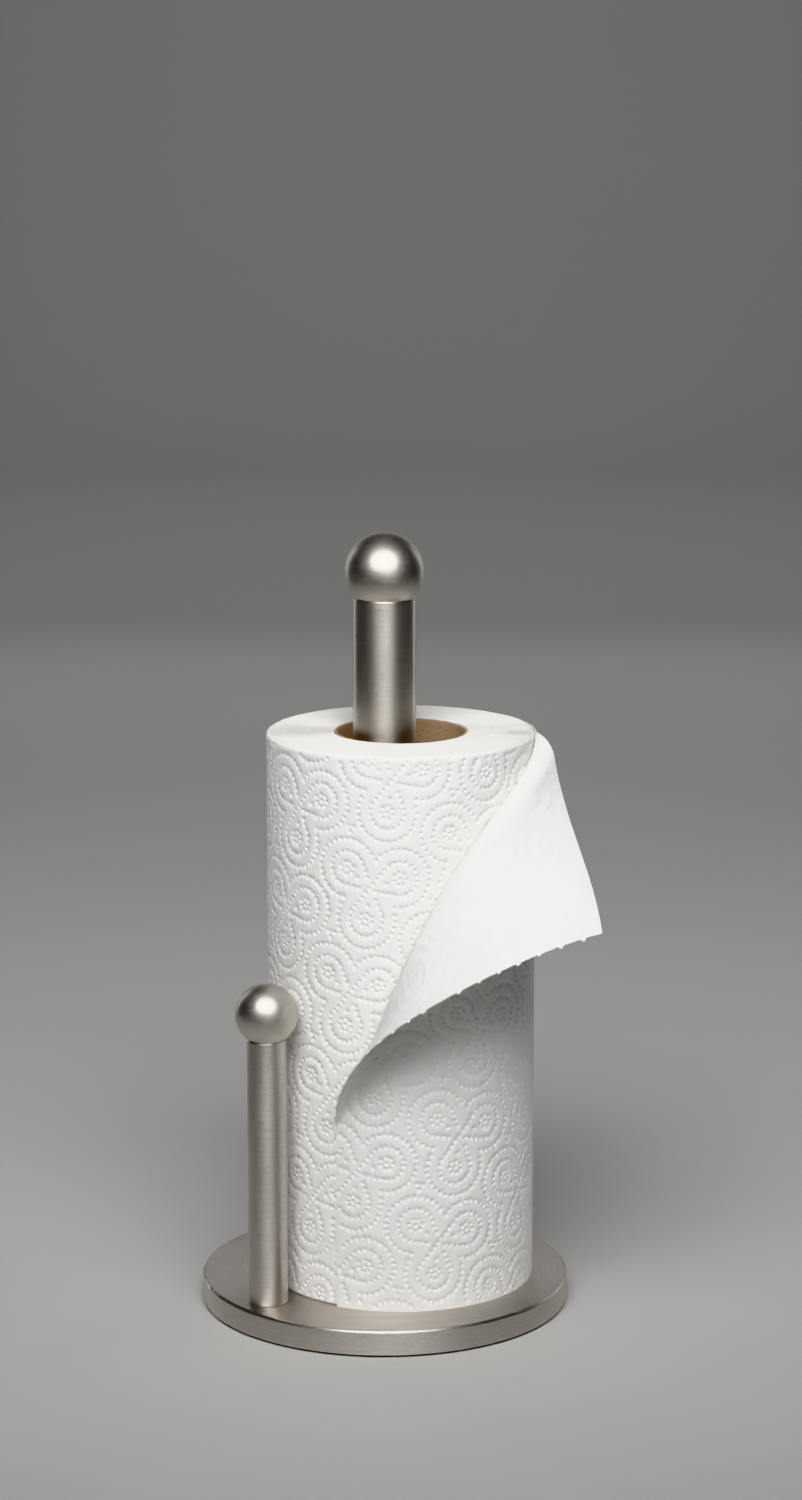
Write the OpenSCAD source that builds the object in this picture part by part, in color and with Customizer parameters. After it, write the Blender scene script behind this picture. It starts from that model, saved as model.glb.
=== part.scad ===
// Free-standing kitchen roll holder: weighted round base, centre post with a ball finial, short
// side arm with a smaller ball, and a kitchen roll standing on it with its top corner peeled.
// Millimetres. +Z is up, the origin is the middle of the base's underside, -Y is the front.

/* [Base] */
// Diameter of the steel cap
base_d = 150; // [130:1:190]
// Height of the steel cap
base_h = 10; // [9.5:0.5:16]
// Sheet thickness of the cap
sheet_t = 0.8; // [0.6:0.1:1.2]
// Radius of the cap's top edge
base_edge_r = 1.2; // [1.0:0.1:2.0]
// Thickness of the non-slip disc
pad_t = 2; // [1.6:0.1:3]
// How far the disc stands out below the cap
pad_stand = 1; // [0.5:0.1:1.4]
// Gap between the disc's edge and the cap's wall
pad_inset = 2; // [0.5:0.5:8]

/* [Post] */
// Outside diameter of the post tube
post_d = 25.4; // [21:0.02:30.5]
// Wall of the post tube
post_wall = 1; // [0.8:0.1:2]
// Length of the post tube
post_len = 280.5; // [233.5:0.5:340]
// Diameter of the finial ball
finial_d = 32; // [29:0.5:39]
// Thread of the post's screw and stud
post_thread_d = 6; // [5:1:8]
// Length of the post's screw under its head
post_screw_len = 20; // [16:1:25]

/* [Side arm] */
// Outside diameter of the arm tube
arm_d = 16; // [14:0.5:19]
// Wall of the arm tube
arm_wall = 1; // [0.8:0.1:1.5]
// Length of the arm tube
arm_len = 109.5; // [80:0.5:160]
// Diameter of the arm's ball
arm_ball_d = 25; // [20.5:0.5:30]
// Direction from the post to the arm, in degrees from +X
arm_angle = 220.4; // [200:0.1:250]
// Metal left between the arm and the edge of the base
arm_rim = 5.6; // [3:0.1:12]
// Thread of the arm's screw and stud
arm_thread_d = 5; // [4:1:6]
// Length of the arm's screw under its head
arm_screw_len = 18; // [14:1:20]

/* [Joining pieces] */
// Height of the threaded inserts
insert_h = 18; // [15:1:24]
// Length of the studs under the balls
stud_len = 20; // [14:1:20]
// Gap all round an insert in its tube
insert_gap = 0.05; // [0.02:0.01:0.1]
// Gap all round a screw or stud in its thread
thread_gap = 0.05; // [0.02:0.01:0.1]
// Gap all round a screw in a plain hole
screw_clear = 0.3; // [0.2:0.1:0.6]
// Edge break on tube ends and ball seats
edge_break = 0.4; // [0.2:0.1:0.6]

/* [Roll] */
// Height of the kitchen roll
roll_h = 226; // [190:1:280]
// Bore of the cardboard core
core_bore_d = 51.2; // [42:0.1:61.5]
// Wall of the cardboard core
core_wall = 1; // [0.6:0.1:2]
// Gap between the core and the winding
core_gap = 0.3; // [0.3:0.1:0.5]
// Gap between the leaning core and the finial as the roll is lifted off
lift_gap = 2.9; // [1:0.1:5]
// Direction in which the roll stands off-centre, in degrees from +X
roll_lean_angle = 13.8; // [0:0.1:360]
// Gap between the roll and the arm's ball
arm_gap = 0.65; // [0.5:0.05:5]

/* [Peeled towel] */
// Thickness of a towel
towel_t = 0.4; // [0.3:0.1:0.6]
// Length of a towel round the roll
towel_len = 230; // [210:1:260]
// Direction of the towel's free edge seen from the roll's axis, in degrees from +X
free_edge_angle = 241.9; // [225:0.1:260]
// How far the free edge is peeled down from the top
peel_drop = 151.3; // [120:0.1:170]
// How far the top edge is peeled from the free edge
peel_run = 112.2; // [90:0.1:130]
// Turn of the fold at the free edge, in degrees
edge_turn = 69; // [50:1:120]
// Turn of the fold at the top edge, in degrees
top_turn = 176; // [140:1:178]
// Radius of the fold at the free edge, in its middle and at the top edge
fold_radii = [0.6, 8.5, 3.3];
// How far the middle of the fold line bows towards the corner
fold_bow = 20.2; // [0:0.1:25]
// Where the bow is greatest: above 1 it is nearer the top edge
fold_bow_skew = 1.5; // [0.7:0.1:2]
// Distance round the roll at which the flap leaves it
flap_leave = 42; // [25:0.1:55]
// How much that distance grows with each millimetre of height
flap_slant = 0.64; // [0:0.01:0.8]
// Radius of the flap's own curve
flap_curve_r = 870; // [300:5:1200]

/* [Hidden] */
$fn = 96;

steel = "#b9b4aa";
zinc = "#8f9296";
iron = "#4a4b4d";

// base
cap_bottom = pad_stand;
cap_top = cap_bottom + base_h;
weight_r = base_d / 2 - sheet_t;
weight_top = cap_top - sheet_t;
weight_chamfer = base_edge_r;
pad_r = weight_r - pad_inset;
web_t = 2.7;
web_bottom = weight_top - web_t;
recess_clear = 1;

// screws and washers, as shares of the thread
head_d_ratio = 1.8;
head_h_ratio = 0.55;
key_ratio = 0.66;
washer_d_ratio = 2;
washer_t_ratio = 0.25;
spring_d_ratio = 1.85;
washer_gap_deg = 14;

// arm and roll places
arm_reach = base_d / 2 - arm_rim - arm_d / 2;
arm_xy = arm_reach * [cos(arm_angle), sin(arm_angle)];
roll_lean = (core_bore_d - finial_d) / 2 - lift_gap;
roll_xy = roll_lean * [cos(roll_lean_angle), sin(roll_lean_angle)];
roll_r = norm(roll_xy - arm_xy) - arm_ball_d / 2 - arm_gap;
core_r = core_bore_d / 2 + core_wall;
winding_r = roll_r - towel_t;

// peeled towel
towel_skin_gap = 0.12;
peel_len = norm([peel_run, peel_drop]);
along = [peel_run, peel_drop] / peel_len;
across = [-along[1], along[0]];
peel_z = roll_h - peel_drop;
flap_mid_z = 150;
towel_steps = 46;
height_steps = 30;
probe = 0.01;

function ball_centre(ball_d, tube_d) =
    sqrt(pow(ball_d / 2, 2) - pow(tube_d / 2 - edge_break, 2));

module at_arm() translate([arm_xy[0], arm_xy[1], 0]) children();

module at_roll() translate([roll_xy[0], roll_xy[1], cap_top]) children();

// ring: a straight ring with an outside radius, a bore radius and a height
module ring(r_out, r_in, h) {
    rotate_extrude() translate([r_in, 0]) square([r_out - r_in, h]);
}

// tube with both outer edges broken
module tube(d, wall, h) {
    r = d / 2;
    e = min(edge_break, wall / 2);
    rotate_extrude() polygon([
        [r - wall, 0], [r - e, 0], [r, e], [r, h - e], [r - e, h], [r - wall, h]
    ]);
}

// threaded insert that fits a tube
module insert(d, wall, thread_d) {
    ring(d / 2 - wall - insert_gap, thread_d / 2 + thread_gap, insert_h);
}

// ball on a flat seat at z = 0, with a blind threaded hole
module seated_ball(ball_d, tube_d, thread_d) {
    centre = ball_centre(ball_d, tube_d);
    difference() {
        intersection() {
            translate([0, 0, centre]) sphere(d = ball_d);
            cylinder(d = ball_d + 2, h = centre + ball_d);
        }
        translate([0, 0, -1]) cylinder(r = thread_d / 2 + thread_gap, h = stud_len / 2 + 2);
    }
}

// plain stud, half in the insert below z = 0 and half in the ball above
module stud(thread_d) {
    e = thread_d / 10;
    r = thread_d / 2;
    h = stud_len / 2;
    rotate_extrude() polygon([[0, -h], [r - e, -h], [r, e - h], [r, h - e], [r - e, h], [0, h]]);
}

// button-head screw, its head below z = 0 and its shank above
module button_screw(thread_d, shank_len) {
    head_r = thread_d * head_d_ratio / 2;
    head_h = thread_d * head_h_ratio;
    dome_r = (head_r * head_r + head_h * head_h) / (2 * head_h);
    difference() {
        union() {
            intersection() {
                translate([0, 0, dome_r - head_h]) sphere(r = dome_r);
                translate([0, 0, -head_h]) cylinder(r = head_r, h = head_h);
            }
            cylinder(d = thread_d, h = shank_len);
        }
        translate([0, 0, -head_h - 1])
            cylinder(d = thread_d * key_ratio / cos(30), h = head_h * 0.6 + 1, $fn = 6);
    }
}

function washer_t(thread_d) = thread_d * washer_t_ratio;

// heights of the stack of washers that hangs under the weight's web
function flat_bottom(thread_d) = web_bottom - washer_t(thread_d);
function spring_bottom(thread_d) = flat_bottom(thread_d) - washer_t(thread_d);

module flat_washer(thread_d) {
    translate([0, 0, flat_bottom(thread_d)])
        ring(thread_d * washer_d_ratio / 2, thread_d / 2 + screw_clear, washer_t(thread_d));
}

// split ring, its slit slanted across the section
module spring_washer(thread_d) {
    t = washer_t(thread_d);
    r = thread_d * spring_d_ratio / 2;
    translate([0, 0, spring_bottom(thread_d)]) difference() {
        ring(r, thread_d / 2 + screw_clear / 2, t);
        rotate([0, 0, washer_gap_deg]) translate([r, 0, t / 2]) rotate([25, 0, 0])
            cube([r * 2, t * 0.6, t * 4], center = true);
    }
}

module screw_hole(thread_d) cylinder(r = thread_d / 2 + screw_clear, h = cap_top + 1);

module head_recess(thread_d, h) {
    cylinder(d = thread_d * washer_d_ratio + 2 * recess_clear, h = h);
}

// outline of a disc with a rounded top edge
module cap_outline(r, h, edge) {
    square([r - edge, h]);
    square([r, h - edge]);
    translate([r - edge, h - edge]) circle(r = edge);
}

module base_shell() {
    color(steel) difference() {
        translate([0, 0, cap_bottom]) rotate_extrude() difference() {
            cap_outline(base_d / 2, base_h, base_edge_r);
            translate([0, -1]) cap_outline(weight_r, base_h + 1 - sheet_t, base_edge_r - sheet_t);
        }
        screw_hole(post_thread_d);
        at_arm() screw_hole(arm_thread_d);
    }
}

module base_weight() {
    c = weight_chamfer;
    color(iron) difference() {
        rotate_extrude() polygon([
            [0, pad_t], [weight_r, pad_t], [weight_r, weight_top - c],
            [weight_r - c, weight_top], [0, weight_top]
        ]);
        screw_hole(post_thread_d);
        head_recess(post_thread_d, web_bottom);
        at_arm() {
            screw_hole(arm_thread_d);
            head_recess(arm_thread_d, web_bottom);
        }
    }
}

module base_pad() {
    color("#232323") difference() {
        cylinder(r = pad_r, h = pad_t);
        translate([0, 0, -1]) {
            head_recess(post_thread_d, pad_t + 2);
            at_arm() head_recess(arm_thread_d, pad_t + 2);
        }
    }
}

module post_tube() {
    color(steel) translate([0, 0, cap_top]) tube(post_d, post_wall, post_len);
}

module post_foot_insert() {
    color(zinc) translate([0, 0, cap_top]) insert(post_d, post_wall, post_thread_d);
}

module post_top_insert() {
    color(zinc) translate([0, 0, cap_top + post_len - insert_h])
        insert(post_d, post_wall, post_thread_d);
}

module post_bolt() {
    color(zinc) translate([0, 0, spring_bottom(post_thread_d)])
        button_screw(post_thread_d, post_screw_len);
}

module post_flat_washer() {
    color(zinc) flat_washer(post_thread_d);
}

module post_spring_washer() {
    color(zinc) spring_washer(post_thread_d);
}

module finial_ball() {
    color(steel) translate([0, 0, cap_top + post_len])
        seated_ball(finial_d, post_d, post_thread_d);
}

module finial_stud() {
    color(zinc) translate([0, 0, cap_top + post_len]) stud(post_thread_d);
}

module arm_tube() {
    color(steel) at_arm() translate([0, 0, cap_top]) tube(arm_d, arm_wall, arm_len);
}

module arm_foot_insert() {
    color(zinc) at_arm() translate([0, 0, cap_top]) insert(arm_d, arm_wall, arm_thread_d);
}

module arm_top_insert() {
    color(zinc) at_arm() translate([0, 0, cap_top + arm_len - insert_h])
        insert(arm_d, arm_wall, arm_thread_d);
}

module arm_bolt() {
    color(zinc) at_arm() translate([0, 0, spring_bottom(arm_thread_d)])
        button_screw(arm_thread_d, arm_screw_len);
}

module arm_flat_washer() {
    color(zinc) at_arm() flat_washer(arm_thread_d);
}

module arm_spring_washer() {
    color(zinc) at_arm() spring_washer(arm_thread_d);
}

module arm_ball() {
    color(steel) at_arm() translate([0, 0, cap_top + arm_len])
        seated_ball(arm_ball_d, arm_d, arm_thread_d);
}

module arm_stud() {
    color(zinc) at_arm() translate([0, 0, cap_top + arm_len]) stud(arm_thread_d);
}

module roll_core() {
    color("#b08d62") at_roll() ring(core_r, core_bore_d / 2, roll_h);
}

module paper_winding() {
    color("#f2f1ee") at_roll() ring(winding_r, core_r + core_gap, roll_h);
}

// A point of the towel before it is peeled is s round the roll from the free edge and z up from
// the roll's foot. Its place along and across the fold line decides how it turns with the fold.
function fold_radius(u) =
    fold_radii[0] * pow(1 - u, 2) + 2 * fold_radii[1] * u * (1 - u) + fold_radii[2] * u * u;

function bow_at(u) = fold_bow * sin(180 * pow(u, fold_bow_skew));

function ease(x) = let (c = min(max(x, 0), 1)) c * c * (3 - 2 * c);

function turned(r) = [cos(r), sin(r)];

// place on the roll at distance s, raised by h
function wrapped(s, h, r) = (r + h) * turned(free_edge_angle + s / r * 180 / PI);

// the same on the flap, which leaves the roll and follows its own flatter curve
function flap_place(s, z, h, r) =
    let (
        leave = flap_leave + (z - flap_mid_z) * flap_slant,
        start = free_edge_angle + leave / r * 180 / PI,
        here = start + (s - leave) / flap_curve_r * 180 / PI
    )
    s < leave ? wrapped(s, h, r)
        : r * turned(start) + flap_curve_r * (turned(here) - turned(start)) + h * turned(here);

function towel_point(s, z, r) =
    let (
        p = [s, z - peel_z],
        a = p * along,
        u = min(max(a / peel_len, 0), 1),
        bow = bow_at(u),
        d = p * across - bow,
        rho = fold_radius(u),
        full_turn = edge_turn + (top_turn - edge_turn) * u,
        turn = min(max(d, 0) / rho * 180 / PI, full_turn),
        past = max(d, 0) - rho * turn * PI / 180,
        x = bow + (d > 0 ? rho * sin(turn) + past * cos(turn) : d),
        h = rho * (1 - cos(turn)) + past * sin(turn),
        q = a * along + x * across,
        w = ease(turn / full_turn),
        xy = (1 - w) * wrapped(q[0], h, r) + w * flap_place(q[0], q[1] + peel_z, h, r)
    )
    [xy[0], xy[1], q[1] + peel_z];

function towel_normal(s, z, r) =
    let (
        c = towel_point(s, z, r),
        n = cross(towel_point(s + probe, z, r) - c, towel_point(s, z + probe, r) - c)
    )
    n / norm(n);

module loose_towel() {
    r = winding_r + towel_skin_gap;
    t = towel_t - towel_skin_gap;
    cols = towel_steps + 1;
    size = cols * (height_steps + 1);
    inner = [
        for (j = [0 : height_steps]) for (i = [0 : towel_steps])
            towel_point(towel_len * i / towel_steps, roll_h * j / height_steps, r)
    ];
    outer = [
        for (j = [0 : height_steps]) for (i = [0 : towel_steps])
            inner[j * cols + i]
                + t * towel_normal(towel_len * i / towel_steps, roll_h * j / height_steps, r)
    ];
    rim = concat(
        [for (i = [0 : towel_steps - 1]) i],
        [for (j = [0 : height_steps - 1]) j * cols + towel_steps],
        [for (i = [towel_steps : -1 : 1]) height_steps * cols + i],
        [for (j = [height_steps : -1 : 1]) j * cols]
    );
    faces = concat(
        [for (j = [0 : height_steps - 1]) for (i = [0 : towel_steps - 1])
            let (a = j * cols + i) each [
                [a, a + 1, a + cols + 1], [a, a + cols + 1, a + cols],
                [size + a, size + a + cols + 1, size + a + 1],
                [size + a, size + a + cols, size + a + cols + 1]
            ]],
        [for (k = [0 : len(rim) - 1])
            let (a = rim[k], b = rim[(k + 1) % len(rim)])
            each [[a, size + a, size + b], [a, size + b, b]]]
    );
    color("#fbfbfa") at_roll() polyhedron(concat(inner, outer), faces);
}

base_shell();
base_weight();
base_pad();
post_tube();
post_foot_insert();
post_top_insert();
post_bolt();
post_flat_washer();
post_spring_washer();
finial_ball();
finial_stud();
arm_tube();
arm_foot_insert();
arm_top_insert();
arm_bolt();
arm_flat_washer();
arm_spring_washer();
arm_ball();
arm_stud();
roll_core();
paper_winding();
loose_towel();
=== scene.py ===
"""Free-standing kitchen roll holder: its finishes, its embossed roll with a peeled towel, and its stage."""

import math

import bpy
import numpy as np
from bpy.props import FloatProperty, FloatVectorProperty, IntProperty, PointerProperty
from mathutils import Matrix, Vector, geometry, kdtree


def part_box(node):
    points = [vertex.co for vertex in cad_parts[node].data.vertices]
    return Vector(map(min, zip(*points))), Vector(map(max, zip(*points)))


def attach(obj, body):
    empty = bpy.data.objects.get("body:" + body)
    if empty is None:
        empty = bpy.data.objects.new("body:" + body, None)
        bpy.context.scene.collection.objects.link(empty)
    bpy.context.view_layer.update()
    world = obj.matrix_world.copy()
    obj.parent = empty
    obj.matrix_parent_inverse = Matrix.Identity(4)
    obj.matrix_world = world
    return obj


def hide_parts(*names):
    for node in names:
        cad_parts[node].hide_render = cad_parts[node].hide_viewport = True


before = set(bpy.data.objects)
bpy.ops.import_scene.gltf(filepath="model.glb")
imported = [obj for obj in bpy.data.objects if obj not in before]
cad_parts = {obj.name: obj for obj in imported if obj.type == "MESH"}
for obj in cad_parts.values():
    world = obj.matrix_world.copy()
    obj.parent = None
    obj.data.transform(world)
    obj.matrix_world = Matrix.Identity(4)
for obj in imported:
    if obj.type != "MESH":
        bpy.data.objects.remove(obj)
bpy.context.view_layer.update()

bl_info = {
    "name": "Kitchen Roll Holder",
    "version": (1, 0, 0),
    "blender": (4, 5, 0),
    "location": "View3D > Sidebar > Roll Holder",
    "description": "Dresses a packed kitchen roll holder and makes its embossed roll",
    "category": "Object",
}

MM = 0.001
THIRD = 2 * math.pi / 3
SEED = 11

# How fast the brushing changes across and along its direction, in changes per metre.
HAIRLINES = (5200.0, 420.0)
STREAKS = (1700.0, 110.0)
PAPER_TURNS = (2400.0, 60.0)

# Full depth of the paper's creping. The peeled towel catches the light and shows more of it.
WOUND_CREPE = 0.154 * MM
TOWEL_CREPE = 0.264 * MM


# ---------------------------------------------------------------- measures taken from the frame


def node_points(name):
    """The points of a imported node, in metres."""
    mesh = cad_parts[name].data
    points = np.empty(len(mesh.vertices) * 3, np.float32)
    mesh.vertices.foreach_get("co", points)
    return points.reshape(-1, 3).astype(float)


def axis_of(name):
    """The middle of a round node, seen from above."""
    low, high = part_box(name)
    return np.array([(low.x + high.x) / 2, (low.y + high.y) / 2])


def radii_of(name, axis):
    """The smallest and the largest distance of a node's points from an upright axis."""
    points = node_points(name)
    reach = np.hypot(points[:, 0] - axis[0], points[:, 1] - axis[1])
    return reach.min(), reach.max()


ROLL_AXIS = axis_of("paper_winding")
ROLL_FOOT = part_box("paper_winding")[0].z
ROLL_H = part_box("paper_winding")[1].z - ROLL_FOOT
ROLL_BORE, WINDING_R = radii_of("paper_winding", ROLL_AXIS)
CORE_IN, CORE_OUT = radii_of("roll_core", ROLL_AXIS)
TOWEL_GAUGE = 0.4 * MM
ROLL_R = WINDING_R + TOWEL_GAUGE
LAP = 2 * math.pi * ROLL_R
PERFORATION_GAP = 0.12 * MM
END_ROUNDING = 1.2 * MM

# Where a trefoil's middle lies on the unrolled towel, and on the wound paper one lap further on.
TOWEL_TREFOIL = np.array([51.1, 71.3]) * MM
WINDING_TREFOIL = np.array([LAP / MM + 14.5, 173.0]) * MM


# ---------------------------------------------------------------- settings that a user may change


def length(name, description, millimetres, low=0.0):
    """A size in metres, with its default given in millimetres."""
    return FloatProperty(
        name=name, description=description, default=millimetres * MM, min=low, unit="LENGTH", precision=5
    )


def angle(name, description, degrees):
    """An angle, with its default given in degrees."""
    return FloatProperty(
        name=name, description=description, default=math.radians(degrees), subtype="ANGLE"
    )


def share(name, description, value):
    """A number from 0 to 1."""
    return FloatProperty(
        name=name, description=description, default=value, min=0, max=1, subtype="FACTOR"
    )


def tint(name, description, red, green, blue):
    """A colour in linear red, green and blue."""
    return FloatVectorProperty(
        name=name, description=description, default=(red, green, blue), size=3, min=0, max=1, subtype="COLOR"
    )


class PeelSettings(bpy.types.PropertyGroup):
    """How the outermost towel is peeled"""

    towel_length: length("Towel length", "Length of one towel round the roll", 230)
    towel_skin: length("Towel thickness", "Thickness of the embossed towel", 0.5)
    free_edge: angle("Free edge", "Direction of the towel's free edge seen from the roll's axis", 241.9)
    peel_drop: length("Peel drop", "How far the free edge is peeled down from the top", 151.3)
    peel_run: length("Peel run", "How far the top edge is peeled from the free edge", 112.2)
    edge_turn: angle("Turn at the free edge", "Turn of the fold at the free edge", 69)
    top_turn: angle("Turn at the top", "Turn of the fold at the top edge", 176)
    edge_radius: length("Fold radius at the free edge", "Radius of the fold at the free edge", 0.6)
    middle_radius: length("Fold radius in the middle", "Radius that rules the middle of the fold", 8.5)
    top_radius: length("Fold radius at the top", "Radius of the fold at the top edge", 3.3)
    fold_bow: length("Fold bow", "How far the fold line bows towards the corner", 20.2)
    bow_skew: FloatProperty(name="Bow skew", description="Above 1 the bow is nearer the top", default=1.5)
    flap_leave: length("Flap leave", "Distance round the roll at which the flap leaves it", 42)
    flap_slant: FloatProperty(
        name="Flap slant", description="Growth of that distance with height", default=0.64
    )
    flap_level: length("Flap level", "Height at which that distance is measured", 150)
    flap_curve: length("Flap curve", "Radius of the flap's own curve", 870)
    bond_pitch: length("Bond pitch", "Distance between the bonds of a perforation", 7.7)
    tab_reach: length("Torn tabs", "Reach of the torn bonds past the free edge", 0.95)


class EmbossSettings(bpy.types.PropertyGroup):
    """The paper's embossed pattern"""

    pitch: length("Pattern pitch", "Distance between the middles of two trefoils", 44.2)
    lattice_turn: angle("Lattice turn", "Direction of a row of trefoils", 18.5)
    lobe_turn: angle("Lobe turn", "Direction of a trefoil's first lobe", 20.5)
    lobe_reach: length("Lobe reach", "Distance from a trefoil's middle to the middle of a lobe", 12.6)
    inner_line: length("Inner line", "Radius of the dotted line inside a lobe", 6.8)
    outer_line: length("Outer line", "Radius of the dotted line round a lobe", 11.8)
    dot_gap: length("Dot spacing", "Distance from dot to dot along a line", 2.45)
    dot_radius: length("Dot radius", "Radius of one pressed dot", 0.84)
    dot_depth: length("Dot depth", "Depth of one pressed dot", 0.48)
    pillow: length("Pillow", "How far the paper swells between the dots", 0.11)


class FinishSettings(bpy.types.PropertyGroup):
    """Colours and roughness"""

    steel: tint("Satin steel", "Colour of the satin steel", 0.61, 0.575, 0.53)
    steel_rough: share("Steel roughness", "Roughness of the satin steel", 0.4)
    paper: tint("Paper", "Colour of the towels", 0.87, 0.86, 0.84)
    board: tint("Core board", "Colour of the roll's core", 0.43, 0.30, 0.185)
    rubber: tint("Rubber", "Colour of the non-slip disc", 0.022, 0.022, 0.024)
    iron: tint("Cast iron", "Colour of the weight", 0.09, 0.09, 0.095)
    zinc: tint("Zinc plate", "Colour of the screws, washers and inserts", 0.55, 0.56, 0.58)


class RollEndSettings(bpy.types.PropertyGroup):
    """The paper turns at the roll's ends"""

    turns: IntProperty(name="Turns", description="Paper turns that show at each end", default=52, min=4)
    bead: length("Turn edge", "Half the width of one turn's edge", 0.24)
    ruffle: length("Ruffle", "How unevenly the turns stand", 0.16)


class StageSettings(bpy.types.PropertyGroup):
    """Camera and floor"""

    lens: FloatProperty(name="Lens", description="Focal length in millimetres", default=91.79)
    camera_x: length("Camera across", "Camera's place to the right", 6.62, -10)
    camera_back: length("Camera back", "Camera's distance in front of the post", 1504.76)
    camera_up: length("Camera up", "Camera's height above the surface", 539.28)
    camera_pitch: angle("Camera pitch", "How far the camera looks down", 11.453)
    camera_rise: FloatProperty(name="Shift", description="Vertical lens shift", default=-0.0082)
    floor: tint("Floor", "Colour of the floor and backdrop", 0.50, 0.495, 0.485)


# ---------------------------------------------------------------- small helpers for nodes and meshes


def add(tree, kind, inputs=None, **settings):
    """Adds a node, sets its properties, and sets or links its inputs."""
    node = tree.nodes.new(kind)
    for name, value in settings.items():
        setattr(node, name, value)
    for name, value in (inputs or {}).items():
        if isinstance(value, bpy.types.NodeSocket):
            tree.links.new(value, node.inputs[name])
        else:
            node.inputs[name].default_value = value
    return node


def maths(tree, operation, first, second=0.0):
    """One Math node's result."""
    return add(tree, "ShaderNodeMath", {0: first, 1: second}, operation=operation).outputs[0]


def colour(rgb):
    """A colour with its full opacity, as sockets want it."""
    return (*rgb, 1.0)


def new_finish(name, base, roughness, metallic=0.0):
    """A material with its plain values set; returns it with its tree and its shader."""
    material = bpy.data.materials.new(name)
    material.use_nodes = True
    material.diffuse_color = colour(base)
    shader = material.node_tree.nodes["Principled BSDF"]
    shader.inputs["Base Color"].default_value = colour(base)
    shader.inputs["Roughness"].default_value = roughness
    shader.inputs["Metallic"].default_value = metallic
    return material, material.node_tree, shader


def mix_tints(tree, factor, dark, light):
    """A colour between two others. Sockets 6 and 7 of a Mix node are its colours, and 2 its result."""
    return add(
        tree, "ShaderNodeMix", {"Factor": factor, 6: dark, 7: light}, data_type="RGBA"
    ).outputs[2]


def bump(tree, shader, height, distance):
    """Roughens a finish by a height, with its full depth in metres."""
    node = add(tree, "ShaderNodeBump", {"Height": height, "Distance": distance, "Strength": 1.0})
    tree.links.new(node.outputs["Normal"], shader.inputs["Normal"])


def noise(tree, vector, scale, detail=2.0, roughness=0.5):
    """A noise from 0 to 1, with its scale in changes per unit of the vector."""
    return add(
        tree,
        "ShaderNodeTexNoise",
        {"Vector": vector, "Scale": scale, "Detail": detail, "Roughness": roughness},
    ).outputs["Fac"]


def spread(tree, value, low, high, to_low, to_high):
    """Maps a value's range onto another range."""
    return add(
        tree,
        "ShaderNodeMapRange",
        {"Value": value, "From Min": low, "From Max": high, "To Min": to_low, "To Max": to_high},
    ).outputs[0]


def dress(node, material):
    """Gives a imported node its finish."""
    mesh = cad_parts[node].data
    mesh.materials.clear()
    mesh.materials.append(material)


def new_piece(name, points, faces, material, unrolled):
    """A mesh piece at the origin, smooth but for its real edges."""
    mesh = bpy.data.meshes.new(name)
    points = np.asarray(points, np.float32)
    mesh.vertices.add(len(points))
    mesh.vertices.foreach_set("co", points.ravel())
    corners = np.concatenate([np.asarray(f, np.int32).ravel() for f in faces])
    sizes = np.concatenate([np.full(len(f), np.asarray(f).shape[1], np.int32) for f in faces])
    mesh.loops.add(len(corners))
    mesh.loops.foreach_set("vertex_index", corners)
    mesh.polygons.add(len(sizes))
    mesh.polygons.foreach_set("loop_start", np.concatenate([[0], np.cumsum(sizes)[:-1]]).astype(np.int32))
    mesh.polygons.foreach_set("loop_total", sizes)
    layer = mesh.uv_layers.new(name="unrolled")
    layer.data.foreach_set("uv", np.asarray(unrolled, np.float32)[corners].ravel())
    mesh.update(calc_edges=True)
    mesh.validate()
    mesh.shade_smooth()
    mesh.set_sharp_from_angle(angle=math.radians(55))
    mesh.materials.append(material)
    piece = bpy.data.objects.new(name, mesh)
    bpy.context.scene.collection.objects.link(piece)
    return piece


# ---------------------------------------------------------------- finishes


def brushed_coordinates(tree, axis, fine, slow):
    """Coordinates that change fast up and outwards and slowly round an upright axis."""
    place = add(tree, "ShaderNodeTexCoord").outputs["Object"]
    local = add(
        tree, "ShaderNodeVectorMath", {0: place, 1: (axis[0], axis[1], 0)}, operation="SUBTRACT"
    ).outputs[0]
    parts = add(tree, "ShaderNodeSeparateXYZ", {0: local})
    flat = add(tree, "ShaderNodeVectorMath", {0: local, 1: (1, 1, 0)}, operation="MULTIPLY").outputs[0]
    reach = add(tree, "ShaderNodeVectorMath", {0: flat}, operation="LENGTH").outputs["Value"]
    across = maths(tree, "MULTIPLY_ADD", reach, fine)
    tree.links.new(maths(tree, "MULTIPLY", parts.outputs[0], slow), across.node.inputs[2])
    upward = maths(tree, "MULTIPLY_ADD", parts.outputs[2], fine)
    tree.links.new(maths(tree, "MULTIPLY", parts.outputs[1], slow), upward.node.inputs[2])
    return add(tree, "ShaderNodeCombineXYZ", {0: across, 1: upward, 2: 0.0}).outputs[0], place


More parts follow.
